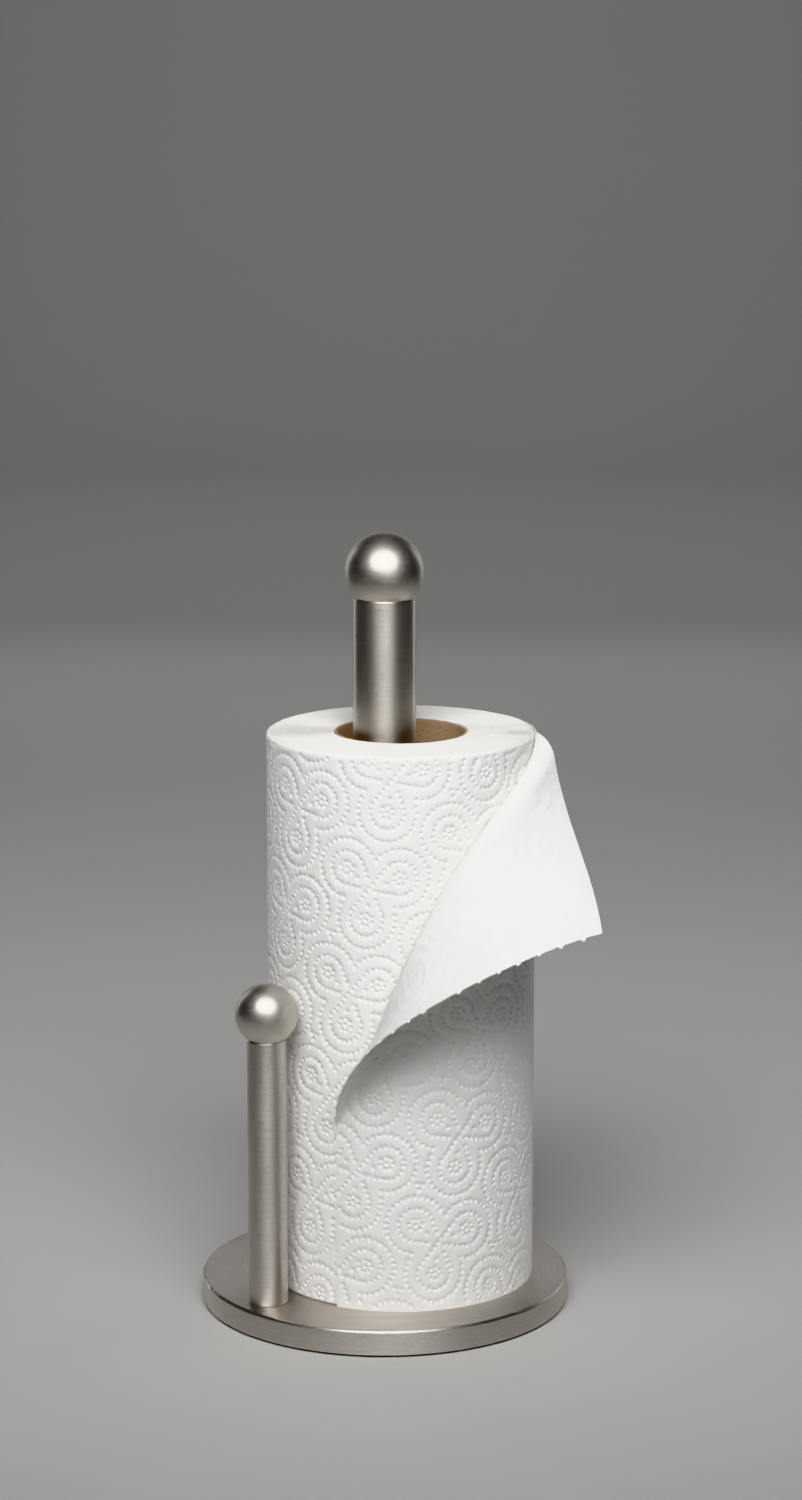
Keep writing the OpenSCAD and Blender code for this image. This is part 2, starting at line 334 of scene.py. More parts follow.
def satin_steel(name, axis, settings, anisotropic, streak):
    """Satin stainless steel, brushed round an upright axis, with streaks a share lighter and darker."""
    material, tree, shader = new_finish(name, settings.steel, settings.steel_rough, 1.0)
    fine, place = brushed_coordinates(tree, axis, *HAIRLINES)
    coarse, _ = brushed_coordinates(tree, axis, *STREAKS)
    hairs = noise(tree, fine, 1.0)
    bands = noise(tree, coarse, 1.0, detail=1.5)
    cloud = noise(tree, place, 38.0)
    both = maths(tree, "ADD", maths(tree, "MULTIPLY", hairs, 0.6), maths(tree, "MULTIPLY", bands, 0.4))
    base = np.array(settings.steel)
    tree.links.new(
        mix_tints(
            tree,
            spread(tree, both, 0.35, 0.65, 0.0, 1.0),
            colour(base * (1 - streak)),
            colour(base * (1 + streak)),
        ),
        shader.inputs["Base Color"],
    )
    grain = spread(tree, both, 0.35, 0.65, -0.05, 0.05)
    handled = spread(tree, cloud, 0.3, 0.7, 0, 0.04)
    rough = maths(tree, "ADD", maths(tree, "ADD", grain, handled), settings.steel_rough)
    tree.links.new(rough, shader.inputs["Roughness"])
    bump(tree, shader, both, 0.01 * MM)
    shader.inputs["Anisotropic"].default_value = anisotropic
    shader.inputs["Anisotropic Rotation"].default_value = 0.25
    tangent = add(tree, "ShaderNodeTangent", direction_type="RADIAL", axis="Z")
    tree.links.new(tangent.outputs[0], shader.inputs["Tangent"])
    return material


def zinc_plate(settings):
    """Zinc plate with a faint cloudiness."""
    material, tree, shader = new_finish("zinc_plate", settings.zinc, 0.38, 1.0)
    place = add(tree, "ShaderNodeTexCoord").outputs["Object"]
    cloud = noise(tree, place, 260.0, detail=3.0)
    base = np.array(settings.zinc)
    tints = mix_tints(tree, cloud, colour(base * 0.8), colour(base * 1.12))
    tree.links.new(tints, shader.inputs["Base Color"])
    tree.links.new(spread(tree, cloud, 0.3, 0.7, 0.3, 0.5), shader.inputs["Roughness"])
    bump(tree, shader, noise(tree, place, 2600.0), 0.01 * MM)
    return material


def cast_iron(settings):
    """Dark cast iron with a sandy skin."""
    material, tree, shader = new_finish("cast_iron", settings.iron, 0.7, 0.6)
    place = add(tree, "ShaderNodeTexCoord").outputs["Object"]
    sand = noise(tree, place, 900.0, detail=4.0, roughness=0.65)
    base = np.array(settings.iron)
    tints = mix_tints(tree, sand, colour(base * 0.6), colour(base * 1.5))
    tree.links.new(tints, shader.inputs["Base Color"])
    tree.links.new(spread(tree, sand, 0.3, 0.7, 0.6, 0.85), shader.inputs["Roughness"])
    bump(tree, shader, sand, 0.2 * MM)
    return material


def pad_rubber(settings):
    """Matt rubber with a fine grain and a little dust."""
    material, tree, shader = new_finish("pad_rubber", settings.rubber, 0.75)
    place = add(tree, "ShaderNodeTexCoord").outputs["Object"]
    grain = add(tree, "ShaderNodeTexVoronoi", {"Vector": place, "Scale": 1500.0}).outputs["Distance"]
    dust = noise(tree, place, 55.0, detail=4.0)
    base = np.array(settings.rubber)
    tints = mix_tints(tree, dust, colour(base * 0.8), colour(base * 1.9))
    tree.links.new(tints, shader.inputs["Base Color"])
    tree.links.new(spread(tree, dust, 0.3, 0.7, 0.68, 0.85), shader.inputs["Roughness"])
    bump(tree, shader, grain, 0.06 * MM)
    return material


def towel_paper(name, settings, crepe_depth):
    """Kitchen paper: soft, matt, with fine creping across its length and loose fibres."""
    material, tree, shader = new_finish(name, settings.paper, 0.92)
    place = add(tree, "ShaderNodeUVMap", uv_map="unrolled").outputs[0]
    creped = add(tree, "ShaderNodeMapping", {"Vector": place, "Scale": (3.4, 1.0, 1.0)}).outputs[0]
    ridges = noise(tree, creped, 900.0, detail=3.0, roughness=0.6)
    fibres = noise(tree, place, 2600.0, roughness=0.6)
    cloud = noise(tree, place, 90.0, detail=3.0)
    base = np.array(settings.paper)
    mottled = maths(tree, "ADD", maths(tree, "MULTIPLY", cloud, 0.5), maths(tree, "MULTIPLY", fibres, 0.5))
    dense = spread(tree, mottled, 0.35, 0.65, 0.0, 1.0)
    tints = mix_tints(tree, dense, colour(base * (0.93, 0.933, 0.937)), colour(base))
    tree.links.new(tints, shader.inputs["Base Color"])
    bump(tree, shader, maths(tree, "ADD", ridges, maths(tree, "MULTIPLY", fibres, 0.5)), crepe_depth)
    shader.inputs["Specular IOR Level"].default_value = 0.25
    shader.inputs["Sheen Weight"].default_value = 0.12
    shader.inputs["Sheen Roughness"].default_value = 0.6
    return material


def cut_paper(settings):
    """The cut edges of many paper turns, at the roll's ends."""
    material, tree, shader = new_finish("cut_paper", settings.paper, 0.95)
    rings, place = brushed_coordinates(tree, ROLL_AXIS, *PAPER_TURNS)
    lines = noise(tree, rings, 1.0, detail=3.0, roughness=0.6)
    cloud = noise(tree, place, 60.0, detail=3.0)
    base = np.array(settings.paper)
    shaded, plain = colour(base * (0.91, 0.90, 0.885)), colour(base * (0.99, 0.985, 0.975))
    tints = mix_tints(tree, spread(tree, lines, 0.3, 0.6, 0.0, 1.0), shaded, plain)
    tree.links.new(tints, shader.inputs["Base Color"])
    bump(tree, shader, maths(tree, "ADD", lines, maths(tree, "MULTIPLY", cloud, 0.6)), 0.12 * MM)
    shader.inputs["Specular IOR Level"].default_value = 0.2
    shader.inputs["Sheen Weight"].default_value = 0.1
    return material


def core_board(settings):
    """Grey-brown board with short fibres and darker flecks."""
    material, tree, shader = new_finish("core_board", settings.board, 0.85)
    place = add(tree, "ShaderNodeUVMap", uv_map="unrolled").outputs[0]
    fibres = add(tree, "ShaderNodeMapping", {"Vector": place, "Scale": (1.0, 5.0, 1.0)}).outputs[0]
    strands = noise(tree, fibres, 420.0, detail=4.0, roughness=0.65)
    flecks = spread(tree, noise(tree, place, 700.0, detail=1.0), 0.62, 0.72, 0.0, 0.6)
    base = np.array(settings.board)
    pulp = spread(tree, strands, 0.3, 0.7, 0.0, 1.0)
    body = mix_tints(tree, pulp, colour(base * 0.78), colour(base * 1.2))
    tree.links.new(mix_tints(tree, flecks, body, colour(base * 0.5)), shader.inputs["Base Color"])
    tree.links.new(spread(tree, strands, 0.3, 0.7, 0.78, 0.92), shader.inputs["Roughness"])
    bump(tree, shader, strands, 0.08 * MM)
    return material


# ---------------------------------------------------------------- the towel's shape


def turned(turn):
    """Unit vectors at the given turns."""
    return np.stack([np.cos(turn), np.sin(turn)], -1)


def ease(x):
    """A soft step from 0 to 1."""
    x = np.clip(x, 0, 1)
    return x * x * (3 - 2 * x)


def fold_axes(peel):
    """The fold line's length, its direction, and the direction across it towards the corner."""
    reach = math.hypot(peel.peel_run, peel.peel_drop)
    along = np.array([peel.peel_run, peel.peel_drop]) / reach
    return reach, along, np.array([-along[1], along[0]])


def fold_radius(u, peel):
    """The fold's radius at u, which runs from 0 at the free edge to 1 at the top edge."""
    return (
        peel.edge_radius * (1 - u) ** 2
        + 2 * peel.middle_radius * u * (1 - u)
        + peel.top_radius * u * u
    )


def fold_turn(u, peel):
    """How far the paper turns over at u along the fold."""
    return peel.edge_turn + (peel.top_turn - peel.edge_turn) * u


def bow_at(u, peel):
    """How far the fold line bows out at u."""
    return peel.fold_bow * np.sin(math.pi * u**peel.bow_skew)


def wrapped(s, lift, peel):
    """Where paper lies that is wrapped round the roll, s along it and lifted off it."""
    return (ROLL_R + lift)[:, None] * turned(peel.free_edge + s / ROLL_R)


def flap_place(s, z, lift, peel):
    """Where the flap lies: it leaves the roll and follows its own flatter curve."""
    leave = peel.flap_leave + (z - peel.flap_level) * peel.flap_slant
    start = peel.free_edge + leave / ROLL_R
    here = start + (s - leave) / peel.flap_curve
    free = (
        ROLL_R * turned(start)
        + peel.flap_curve * (turned(here) - turned(start))
        + lift[:, None] * turned(here)
    )
    return np.where((s < leave)[:, None], wrapped(s, lift, peel), free)


def peeled(s, z, peel):
    """Places of towel points that were s round the roll and z up before the corner was peeled.
    Also returns how far each has turned over, from 0 on the roll to 1 on the flap."""
    reach, along, across = fold_axes(peel)
    foot = ROLL_H - peel.peel_drop
    flat = np.stack([s, z - foot], -1)
    run = flat @ along
    u = np.clip(run / reach, 0, 1)
    bow = bow_at(u, peel)
    past_line = flat @ across - bow
    folded = np.maximum(past_line, 0)
    radius = fold_radius(u, peel)
    full = fold_turn(u, peel)
    turn = np.minimum(folded / radius, full)
    straight = folded - radius * turn
    beside = bow + np.where(past_line > 0, radius * np.sin(turn) + straight * np.cos(turn), past_line)
    lift = radius * (1 - np.cos(turn)) + straight * np.sin(turn)
    laid = run[:, None] * along + beside[:, None] * across
    level = laid[:, 1] + foot
    over = ease(turn / full)[:, None]
    on_roll = wrapped(laid[:, 0], lift, peel)
    on_flap = flap_place(laid[:, 0], level, lift, peel)
    return np.column_stack([(1 - over) * on_roll + over * on_flap, level]), turn / full


def towel_normals(s, z, peel):
    """Outward normals of the peeled towel, from small steps along it."""
    step = 0.05 * MM
    round_roll = peeled(s + step, z, peel)[0] - peeled(s - step, z, peel)[0]
    upward = peeled(s, z + step, peel)[0] - peeled(s, z - step, peel)[0]
    normals = np.cross(round_roll, upward)
    return normals / np.linalg.norm(normals, axis=1)[:, None]


# ---------------------------------------------------------------- the embossed pattern


def along_arc(middle, radius, start, span, gap):
    """Dots evenly along an arc."""
    count = max(1, round(radius * abs(span) / gap))
    turn = start + span * (np.arange(count) + 0.5) / count
    return middle + radius * turned(turn)


def along_line(start, end, gap):
    """Dots evenly along a straight line."""
    count = max(1, round(float(np.linalg.norm(end - start)) / gap))
    return start + (end - start) * ((np.arange(count) + 0.5) / count)[:, None]


def lobe(turn, e):
    """The dots of one lobe: its two lines, its seed and its stalk."""
    middle = e.lobe_reach * turned(np.array(turn))
    dots = [along_arc(middle, e.inner_line, turn - THIRD, 2 * THIRD, e.dot_gap)]
    side = e.inner_line * turned(np.array(turn + THIRD))
    neighbour = e.lobe_reach * turned(np.array(turn - THIRD))
    dots.append(along_line(middle + side, neighbour + side, e.dot_gap))
    notch = math.acos(e.lobe_reach * math.sin(THIRD / 2) / e.outer_line)
    span = math.radians(150) - notch
    dots.append(along_arc(middle, e.outer_line, turn - span, 2 * span, e.dot_gap))
    dots.append(along_arc(middle, e.dot_gap, turn, 2 * math.pi, e.dot_gap * 0.9))
    dots.append(middle[None, :])
    dots.append((middle - 2.35 * e.dot_gap * turned(np.array(turn)))[None, :])
    return np.concatenate(dots)


def trefoil(e):
    """The dots of one trefoil, with the small group that fills the gap beside it."""
    lobes = [lobe(e.lobe_turn + i * THIRD, e) for i in range(3)]
    filler = e.pitch / math.sqrt(3) * turned(np.array(e.lattice_turn + math.radians(330)))
    group = filler + 0.6 * e.dot_gap * turned(e.lobe_turn + THIRD * np.arange(3))
    return np.concatenate([*lobes, group])


def thinned(dots, gap):
    """Leaves out dots that are nearer than gap to an earlier one."""
    tree = kdtree.KDTree(len(dots))
    for i, dot in enumerate(dots):
        tree.insert((*dot, 0), i)
    tree.balance()
    dropped = np.zeros(len(dots), bool)
    for i, dot in enumerate(dots):
        if not dropped[i]:
            for _, j, _ in tree.find_range((*dot, 0), gap):
                dropped[j] |= j > i
    return dots[~dropped]


def pattern(low, high, phase, e):
    """All dots of the pattern inside a rectangle of the unrolled paper."""
    motif = trefoil(e)
    row = e.pitch * turned(np.array(e.lattice_turn))
    rise = e.pitch * turned(np.array(e.lattice_turn + THIRD / 2))
    reach = int(np.max(np.subtract(high, low)) / e.pitch) + 6
    dots = [
        motif + phase + i * row + j * rise
        for i in range(-2 * reach, 2 * reach)
        for j in range(-reach, reach)
    ]
    dots = np.concatenate(dots)
    edge = 1.3 * e.dot_radius
    inside = np.all((dots > np.add(low, edge)) & (dots < np.subtract(high, edge)), axis=1)
    return thinned(dots[inside], 0.64 * e.dot_gap)


def nearest(points, dots, limit):
    """Distance from each point to the nearest dot, at most limit."""
    tree = kdtree.KDTree(len(dots))
    for i, dot in enumerate(dots):
        tree.insert((*dot, 0), i)
    tree.balance()
    return np.array([min(tree.find((*p, 0))[2], limit) for p in points])


def rings_round(dots, radius, count, twist):
    """count points on a circle round each dot."""
    turn = 2 * math.pi * np.arange(count) / count + twist
    return (dots[:, None, :] + radius * turned(turn)[None, :, :]).reshape(-1, 2)


def filled(low, high, step):
    """Staggered points that fill a rectangle of the unrolled paper."""
    rows = []
    for row, z in enumerate(np.arange(low[1] + 0.6 * step, high[1] - 0.5 * step, 0.87 * step)):
        s = np.arange(low[0] + (0.6 + 0.5 * (row % 2)) * step, high[0] - 0.5 * step, step)
        rows.append(np.column_stack([s, np.full(len(s), z)]))
    return np.concatenate(rows)


def triangulated(rim, inner):
    """Triangles over a closed rim and the points inside it. Every point is kept, in its order."""
    given = np.concatenate([rim, inner])
    points = [Vector(p) for p in given / MM]
    out, _, faces, *_ = geometry.delaunay_2d_cdt(points, [], [list(range(len(rim)))], 1, 1e-5, False)
    if len(out) != len(given):
        raise RuntimeError(f"triangulating {len(given)} points gave {len(out)}")
    return given, np.array(faces, np.int32)


def embossed(rim, low, high, dots, extra, e):
    """Triangulates an embossed sheet: returns its points, its depths below the swell, and its faces."""
    deep = 0.52 * e.dot_radius
    solid = [dots, rings_round(dots, deep, 6, 0.2), rings_round(dots, e.dot_radius, 7, 0.0)]
    plain = np.concatenate([filled(low, high, 2.0 * MM), extra])
    clear = nearest(plain, dots, 1.0) > 1.35 * e.dot_radius
    inner = np.concatenate([*solid, plain[clear]])
    points, faces = triangulated(rim, inner)
    away = nearest(points, dots, 3.2 * MM)
    swell = ease((away - 0.8 * e.dot_radius) / (1.9 * MM))
    pressed = np.where(away < 0.25 * deep, 1.0, np.where(away < 1.2 * deep, 0.88, 0.0))
    return points, e.pillow * (1 - swell) + e.dot_depth * pressed, faces


def evenly(start, end, step):
    """Numbers from start up to but not including end."""
    count = max(1, round(abs(end - start) / step))
    return start + (end - start) * np.arange(count) / count


def torn_edge(z, peel):
    """How far the torn bonds of a perforation stand past the edge at height z."""
    rng = np.random.default_rng(SEED)
    bonds = np.arange(0.5, ROLL_H / peel.bond_pitch) * peel.bond_pitch
    reach = peel.tab_reach * rng.choice((0.12, 0.75, 1.0, 1.2), len(bonds), p=(0.22, 0.28, 0.3, 0.2))
    width = rng.uniform(0.8, 1.25, len(bonds)) * MM
    skew = rng.uniform(-0.3, 0.3, len(bonds)) * MM
    away = np.abs(z[:, None] - bonds - skew) / width
    tabs = reach * (1 - ease((away - 0.35) / 0.65))
    frayed = 0.1 * MM * np.sin(z * 2100) * np.sin(z * 1370 + 1)
    return tabs.max(axis=1) + frayed


def tear(points, peel):
    """Moves the points of the free edge out to its torn outline."""
    at_edge = points[:, 0] == 0
    points[at_edge, 0] -= torn_edge(points[at_edge, 1], peel)


def rim_of(low, high, step, left_step=None):
    """A closed rim round a rectangle of the unrolled paper, counter-clockwise from its low corner."""
    bottom = evenly(low[0], high[0], step)
    right = evenly(low[1], high[1], step)
    top = evenly(high[0], low[0], step)
    left = evenly(high[1], low[1], left_step or step)
    sides = [
        np.column_stack([bottom, np.full(len(bottom), low[1])]),
        np.column_stack([np.full(len(right), high[0]), right]),
        np.column_stack([top, np.full(len(top), high[1])]),
        np.column_stack([np.full(len(left), low[0]), left]),
    ]
    return np.concatenate(sides)


def fold_rows(peel, low, high):
    """Points in rows along the fold, close enough together to bend round it.
    Where the fold is tight, only every fourth row is kept."""
    reach, along, across = fold_axes(peel)
    run = np.arange(0.4 * MM, reach, 0.9 * MM)
    u = run / reach
    bands = 8
    band = fold_radius(u, peel) * fold_turn(u, peel) / bands
    rows = []
    for k in range(bands + 1):
        row = run[:, None] * along + (bow_at(u, peel) + k * band)[:, None] * across
        row[:, 1] += ROLL_H - peel.peel_drop
        rows.append(row[(band > 0.3 * MM) | (k % 4 == 0)])
    rows = np.concatenate(rows)
    edge = 0.6 * MM
    return rows[np.all((rows > np.add(low, edge)) & (rows < np.subtract(high, edge)), axis=1)]


def roll_place(xy_z):
    """Moves points from the roll's own axis and foot to their place in the frame."""
    return xy_z + np.array([ROLL_AXIS[0], ROLL_AXIS[1], ROLL_FOOT])


def ragged(s, size):
    """A gentle unevenness along an edge."""
    mm = s / MM
    return size * (np.sin(mm * 0.31 + 1) + np.sin(mm * 0.83) * 0.6 + np.sin(mm * 2.3 + 2) * 0.35) / 1.95


def top_level(s, z):
    """How far the cut top edge stands off its even height. It fades out below the edge."""
    uneven = np.where(z > 0.5 * ROLL_H, ragged(s, 0.12 * MM) - 0.15 * MM, 0.0)
    return uneven * ease((z / ROLL_H - 0.9) * 10)


def towel_face(points, depth, peel):
    """Places the unrolled points of one face of the towel, at their depth below its outside."""
    s, z = points.T
    place, over = peeled(s, z, peel)
    loose = ease(over * 1.5 - 0.5)
    waves = loose * 0.35 * MM * np.sin(s * 55 + z * 38) * np.sin(z * 47 - s * 21)
    place = place + towel_normals(s, z, peel) * (waves - depth)[:, None]
    place[:, 2] += top_level(s, z)
    return place


def make_towel(peel, emboss, material):
    """The outermost towel: an embossed skin outside, its reverse inside, and its cut edge between."""
    low, high = (0.0, 0.0), (peel.towel_length - PERFORATION_GAP, ROLL_H)
    rim = rim_of(low, high, 1.3 * MM, 0.3 * MM)
    dots = pattern(low, high, TOWEL_TREFOIL, emboss)
    folds = fold_rows(peel, low, high)
    points, depth, faces = embossed(rim, low, high, dots, folds, emboss)
    tear(points, peel)
    front = towel_face(points, depth, peel)

    bumps = dots[peeled(dots[:, 0], dots[:, 1], peel)[1] > 0.3]
    plain = np.concatenate([filled(low, high, 3.6 * MM), folds])
    plain = plain[nearest(plain, bumps, 1.0) > 1.3 * emboss.dot_radius]
    inner = np.concatenate([bumps, rings_round(bumps, emboss.dot_radius, 7, 0.0), plain])
    back_points, back_faces = triangulated(rim, inner)
    tear(back_points, peel)
    raised = 0.65 * emboss.dot_depth * (nearest(back_points, bumps, 1.0) < 0.3 * emboss.dot_radius)
    back = towel_face(back_points, peel.towel_skin + raised, peel)

    count = len(front)
    here = np.arange(len(rim))
    after = (here + 1) % len(rim)
    edge = np.column_stack([here, count + here, count + after, after])
    return new_piece(
        "peeled_towel",
        roll_place(np.concatenate([front, back])),
        [faces, count + back_faces[:, ::-1], edge],
        material,
        np.concatenate([points, back_points]),
    )


# ---------------------------------------------------------------- the rest of the roll


def winding_radius(s, peel):
    """Radius of the paper under the towel: it eases from the towel's own level to one layer less."""
    sunk = ease((s - peel.towel_length - 2 * MM) / (LAP - peel.towel_length - 8 * MM))
    return ROLL_R - (peel.towel_skin + 0.05 * MM) * sunk


def wound_skin(points, depth, peel):
    """Places the unrolled points of the wound paper, with its ends rounded and a little uneven."""
    s, z = points.T
    end_gap = np.minimum(z, ROLL_H - z)
    rounded = END_ROUNDING - np.sqrt(END_ROUNDING**2 - np.maximum(END_ROUNDING - end_gap, 0) ** 2)
    radius = winding_radius(s, peel) - depth - rounded
    skin = np.column_stack([radius[:, None] * turned(peel.free_edge + s / ROLL_R), z])
    uneven = np.where(z > 0.5 * ROLL_H, ragged(s + 9 * MM, 0.14 * MM), 0)
    skin[:, 2] += uneven * ease(1 - end_gap / (3 * MM))
    return skin


def roll_end(outline, ids, first_free, is_top):
    """One end of the roll: rings from the paper's edge in to the bore, and the step of the last turn.
    Returns the rings' points, the faces, and the ids of the bore's ring, which ends where it starts."""
    turn = np.arctan2(outline[:, 1], outline[:, 0])
    reach = np.hypot(outline[:, 0], outline[:, 1])
    level = ROLL_H if is_top else 0.0
    swell = 0.25 * MM * np.sin(turn * 3 + 1) if is_top else 0.0
    points, rings = [], [ids]
    for part in (0.985, 0.95, 0.88, *np.linspace(0.78, 0.0, 8)):
        radius = ROLL_BORE + (reach - ROLL_BORE) * part
        rise = outline[:, 2] * part + (level + swell) * (1 - part)
        ring = np.column_stack([radius[:, None] * turned(turn), rise])
        ring = ring if part else ring[:-1]
        points.append(ring)
        rings.append(first_free + np.arange(len(ring)))
        first_free += len(ring)
    rings[-1] = np.append(rings[-1], rings[-1][0])
    order = slice(None, None, -1) if is_top else slice(None)
    faces = [np.column_stack([a[:-1], b[:-1], b[1:], a[1:]])[:, order] for a, b in zip(rings, rings[1:])]
    first = np.array([ring[0] for ring in rings])
    last = np.array([ring[-1] for ring in rings])
    step = np.column_stack([first[:-1], last[:-1], last[1:], first[1:]])
    faces += [step[:-1, order], step[-1:, :3][:, order]]
    return points, faces, rings[-1]


def make_winding(peel, emboss, paper, ends):
    """The wound towels under the outermost one: an embossed skin, both ends and the bore."""
    start = peel.towel_length + PERFORATION_GAP
    low, high = (start, 0.0), (start + LAP, ROLL_H)
    seen = LAP + peel.peel_run + 14 * MM
    gap = 1.5 * MM
    rim = rim_of(low, high, gap)
    dots = pattern(low, (seen, ROLL_H), WINDING_TREFOIL, emboss)
    stations = np.arange(start + gap / 2, seen, gap)
    from_end = np.array([0.2, 0.5, 0.9]) * MM
    levels = (*from_end, *(ROLL_H - from_end[::-1]))
    near_ends = [np.column_stack([stations, np.full(len(stations), level)]) for level in levels]
    points, depth, faces = embossed(rim, low, high, dots, np.concatenate(near_ends), emboss)
    depth = np.where(points[:, 0] > seen, emboss.pillow, depth)
    skin = wound_skin(points, depth, peel)

    columns = len(evenly(low[0], high[0], gap))
    rows = len(evenly(low[1], high[1], gap))
    foot_edge = np.arange(columns + 1)
    top_edge = np.arange(2 * columns + rows, columns + rows - 1, -1)
    foot_points, foot_faces, foot = roll_end(skin[foot_edge], foot_edge, len(skin), False)
    used = len(skin) + sum(len(ring) for ring in foot_points)
    top_points, top_faces, top = roll_end(skin[top_edge], top_edge, used, True)
    bore = np.column_stack([foot[:-1], top[:-1], top[1:], foot[1:]])
    left = np.concatenate([[0], np.arange(len(rim) - 1, 2 * columns + rows - 1, -1)])
    right = np.arange(columns, columns + rows + 1)
    lap_step = np.column_stack([right[:-1], left[:-1], left[1:], right[1:]])

    places = np.concatenate([skin, *foot_points, *top_points])
    unrolled = np.concatenate([points, places[len(skin) :, :2]])
    all_faces = [faces, *foot_faces, *top_faces, bore, lap_step]
    piece = new_piece("roll_paper", roll_place(places), all_faces, paper, unrolled)
    piece.data.materials.append(ends)
    normals = np.empty(len(piece.data.polygons) * 3, np.float32)
    piece.data.polygons.foreach_get("normal", normals)
    lies_flat = np.abs(normals.reshape(-1, 3)[:, 2]) > 0.6
    is_cut = lies_flat & (np.arange(len(lies_flat)) >= len(faces))
    piece.data.polygons.foreach_set("material_index", is_cut.astype(np.int32))
    piece.data.update()
    return piece


def make_core(material):
    """The board tube, with the helical seams of its plies and its slightly worn ends."""
    around, up = 144, 150
    turn = 2 * math.pi * np.arange(around) / around
    height = np.concatenate([[0, 0.2 * MM, 0.5 * MM], np.linspace(1.2 * MM, ROLL_H - 1.2 * MM, up - 6)])
    height = np.concatenate([height, ROLL_H - np.array([0.5 * MM, 0.2 * MM, 0])])
    ply = 62 * MM

    def wall(radius, inward, offset):
        """One face of the tube: its points, and their places on the unrolled board."""
        t, h = np.meshgrid(turn, height)
        lead = (t / (2 * math.pi) + h / ply + offset) % 1.0
        seam = np.exp(-(((lead - 0.5) * ply / (1.1 * MM)) ** 2))
        worn = 0.12 * MM * (1 - ease(np.minimum(h, ROLL_H - h) / (0.6 * MM)))
        dent = 0.1 * MM * np.sin(2 * t + h * 9)
        r = radius - inward * (0.14 * MM * seam + worn) + dent * ease(h / ROLL_H)
        uneven = np.where(h > 0.9 * ROLL_H, ragged(t * CORE_OUT * 3, 0.1 * MM), 0)
        z = h + uneven * ease((h / ROLL_H - 0.97) * 33)
        place = np.stack([r * np.cos(t), r * np.sin(t), z], -1).reshape(-1, 3)
        return place, np.stack([t * CORE_OUT, h], -1).reshape(-1, 2)

    outer, outer_uv = wall(CORE_OUT, 1, 0.0)
    inner, inner_uv = wall(CORE_IN, -1, 0.4)
    rows = len(height)
    here = np.arange(around)
    after = (here + 1) % around
    shell = []
    for j in range(rows - 1):
        a, b = j * around, (j + 1) * around
        shell.append(np.column_stack([a + here, a + after, b + after, b + here]))
    shell = np.concatenate(shell)
    count = len(outer)
    last = (rows - 1) * around
    foot = np.column_stack([here, count + here, count + after, after])
    top = np.column_stack([last + here, last + after, count + last + after, count + last + here])
    points = roll_place(np.concatenate([outer, inner]))
    uv = np.concatenate([outer_uv, inner_uv])
    return new_piece("core_tube", points, [shell, count + shell[:, ::-1], foot, top], material, uv)


# ---------------------------------------------------------------- pieces made by geometry nodes


def new_group(name, inputs):
    """A geometry node group with named inputs; returns it with its input and output nodes."""
    tree = bpy.data.node_groups.new(name, "GeometryNodeTree")
    for label, kind in inputs:
        tree.interface.new_socket(name=label, in_out="INPUT", socket_type=kind)
    tree.interface.new_socket(name="Geometry", in_out="OUTPUT", socket_type="NodeSocketGeometry")
    return tree, tree.nodes.new("NodeGroupInput"), tree.nodes.new("NodeGroupOutput")


def finish_group(tree, last, outputs, material):
    """Ends a group in Realize Instances and Set Material."""
    real = add(tree, "GeometryNodeRealizeInstances", {"Geometry": last})
    smooth = add(tree, "GeometryNodeSetShadeSmooth", {"Geometry": real.outputs[0]})
    dressed = add(tree, "GeometryNodeSetMaterial", {"Geometry": smooth.outputs[0], "Material": material})
    tree.links.new(dressed.outputs[0], outputs.inputs[0])


def baked(name, tree, values):
    """Runs a node group and keeps its result as a plain mesh piece at the origin."""
    carrier = bpy.data.objects.new(name + "_carrier", bpy.data.meshes.new(name + "_carrier"))
    bpy.context.scene.collection.objects.link(carrier)
    modifier = carrier.modifiers.new("nodes", "NODES")
    modifier.node_group = tree
    for item in tree.interface.items_tree:
        if item.in_out == "INPUT" and item.name in values:
            modifier[item.identifier] = values[item.name]
    depsgraph = bpy.context.evaluated_depsgraph_get()
    mesh = bpy.data.meshes.new_from_object(carrier.evaluated_get(depsgraph))
    carrier.modifiers.remove(modifier)
    bpy.data.objects.remove(carrier)
    if not len(mesh.polygons):
        raise RuntimeError(f"{name}: the node group made no faces")
    mesh.name = name
    piece = bpy.data.objects.new(name, mesh)
    bpy.context.scene.collection.objects.link(piece)
    return piece


